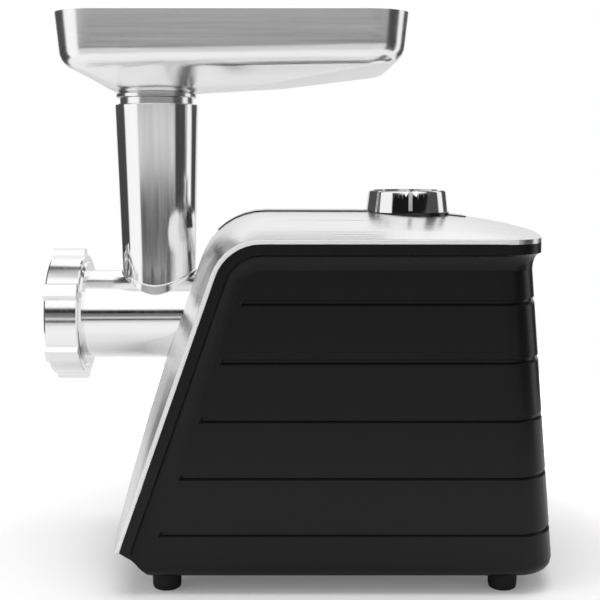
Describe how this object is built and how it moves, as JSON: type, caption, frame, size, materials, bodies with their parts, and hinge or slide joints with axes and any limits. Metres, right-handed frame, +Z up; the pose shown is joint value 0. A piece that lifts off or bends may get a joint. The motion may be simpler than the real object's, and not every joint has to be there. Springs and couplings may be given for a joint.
{
  "type": "electric meat grinder",
  "caption": "Electric meat grinder with a leaning crowned metal cover, ribbed black housing, speed knob, removable grinding head with ring nut, tall feed tube and rectangular food tray.",
  "frame": {"origin": "on the table, at the middle of the whole machine's length and width", "axes": "+Z up; +X from the grinding head towards the rear of the housing; +Y to the left-hand side seen from behind the machine"},
  "size_m": [0.3222, 0.174, 0.349],
  "materials": {
    "cover_metal": "fine brushed, satin",
    "housing_black": "satin moulded",
    "strip_black": "gloss",
    "knob_chrome": "polished",
    "knob_black": "gloss",
    "marker_white": "gloss",
    "foot_rubber": "matte",
    "head_aluminium": "polished",
    "tray_aluminium": "fine brushed",
    "plate_steel": "ground",
    "auger_metal": "cast, polished",
    "washer_nylon": "smooth",
    "inner_plastic": "moulded",
    "case_metal": "die cast",
    "screw_steel": "zinc plated",
    "bush_bronze": "sintered",
    "shaft_steel": "ground",
    "gear_steel": "hobbed",
    "gear_nylon": "moulded",
    "core_steel": "stacked sheet",
    "copper_wire": "enamelled",
    "carbon": "matte",
    "board_green": "lacquered",
    "capacitor_yellow": "gloss"
  },
  "bodies": {
    "body": {"top_cover": "cover_metal", "control_strip": "strip_black", "housing_right": "housing_black", "housing_left": "housing_black", "base_plate": "housing_black", "feet": "foot_rubber", "base_screws": "screw_steel", "cover_screws": "screw_steel", "cord_gland": "foot_rubber", "knob_bezel": "knob_black", "rotary_switch": "inner_plastic", "control_board": "board_green", "board_screws": "screw_steel", "capacitor": "capacitor_yellow", "button_guide": "inner_plastic", "gearbox_case": "case_metal", "gearbox_cover": "case_metal", "gearbox_screws": "screw_steel", "output_bush": "bush_bronze", "shaft_bushes": "bush_bronze", "stator_core": "core_steel", "field_coils": "copper_wire", "motor_front_bracket": "case_metal", "motor_rear_bracket": "case_metal", "motor_bearings": "shaft_steel", "brush_holders": "bush_bronze", "carbon_brushes": "carbon", "motor_bolts": "screw_steel", "motor_damper": "foot_rubber"},
    "knob": {"knob_shell": "knob_chrome", "knob_pointer": "marker_white", "switch_shaft": "shaft_steel"},
    "button": {"release_button": "knob_black", "button_spring": "shaft_steel"},
    "rotor": {"motor_shaft": "shaft_steel", "armature": "core_steel", "commutator": "copper_wire", "cooling_fan": "inner_plastic"},
    "first": {"first_gear": "gear_nylon", "first_shaft": "shaft_steel"},
    "second": {"second_gear": "gear_steel", "second_shaft": "shaft_steel"},
    "output": {"output_gear": "gear_steel", "output_shaft": "shaft_steel"},
    "head": {"head_barrel": "head_aluminium", "feed_tube": "head_aluminium", "plate_key": "shaft_steel"},
    "auger": {"auger": "auger_metal", "knife": "plate_steel", "thrust_washer": "washer_nylon"},
    "plate": {"cutting_plate": "plate_steel"},
    "nut": {"ring_nut": "head_aluminium"},
    "tray": {"food_tray": "tray_aluminium"}
  },
  "joints": [
    {"name": "knob_turn", "type": "hinge", "parent": "body", "child": "knob", "pos_m": [0.06911, 0, 0.2295], "axis": [0, 0, 1], "range_deg": [-50, 50]},
    {"name": "button_press", "type": "slide", "parent": "body", "child": "button", "axis": [1, 0, 0], "range_m": [0, 0.0035], "stiffness_N_per_m": 500, "springref_m": -0.002, "deforming": ["button_spring"]},
    {"name": "motor_spin", "type": "hinge", "parent": "body", "child": "rotor", "pos_m": [0.01227, 0, 0.07621], "axis": [1, 0, 0], "continuous": true},
    {"name": "first_gear_spin", "type": "hinge", "parent": "body", "child": "first", "pos_m": [-0.01933, -0.00339, 0.10602], "axis": [1, 0, 0], "continuous": true},
    {"name": "second_gear_spin", "type": "hinge", "parent": "body", "child": "second", "pos_m": [-0.03313, 0.02909, 0.12477], "axis": [1, 0, 0], "continuous": true},
    {"name": "output_spin", "type": "hinge", "parent": "body", "child": "output", "pos_m": [-0.03313, 0, 0.162], "axis": [1, 0, 0], "continuous": true},
    {"name": "head_pull", "type": "slide", "parent": "body", "child": "head", "axis": [-1, 0, 0], "range_m": [0, 0.07]},
    {"name": "auger_spin", "type": "hinge", "parent": "head", "child": "auger", "pos_m": [-0.15151, 0, 0.162], "axis": [1, 0, 0], "continuous": true},
    {"name": "plate_travel", "type": "slide", "parent": "head", "child": "plate", "axis": [-1, 0, 0], "range_m": [0, 0.015]},
    {"name": "nut_spin", "type": "hinge", "parent": "plate", "child": "nut", "pos_m": [-0.16111, 0, 0.162], "axis": [-1, 0, 0], "range_deg": [0, 1800]},
    {"name": "tray_lift", "type": "slide", "parent": "head", "child": "tray", "axis": [0, 0, 1], "range_m": [0, 0.06]}
  ],
  "couplings": [
    {"joint": "first_gear_spin", "follows": "motor_spin", "ratio": -0.2},
    {"joint": "second_gear_spin", "follows": "motor_spin", "ratio": 0.05},
    {"joint": "output_spin", "follows": "motor_spin", "ratio": -0.014286},
    {"joint": "auger_spin", "follows": "motor_spin", "ratio": -0.014286},
    {"joint": "plate_travel", "follows": "nut_spin", "m_per_rad": 0.00047746}
  ]
}
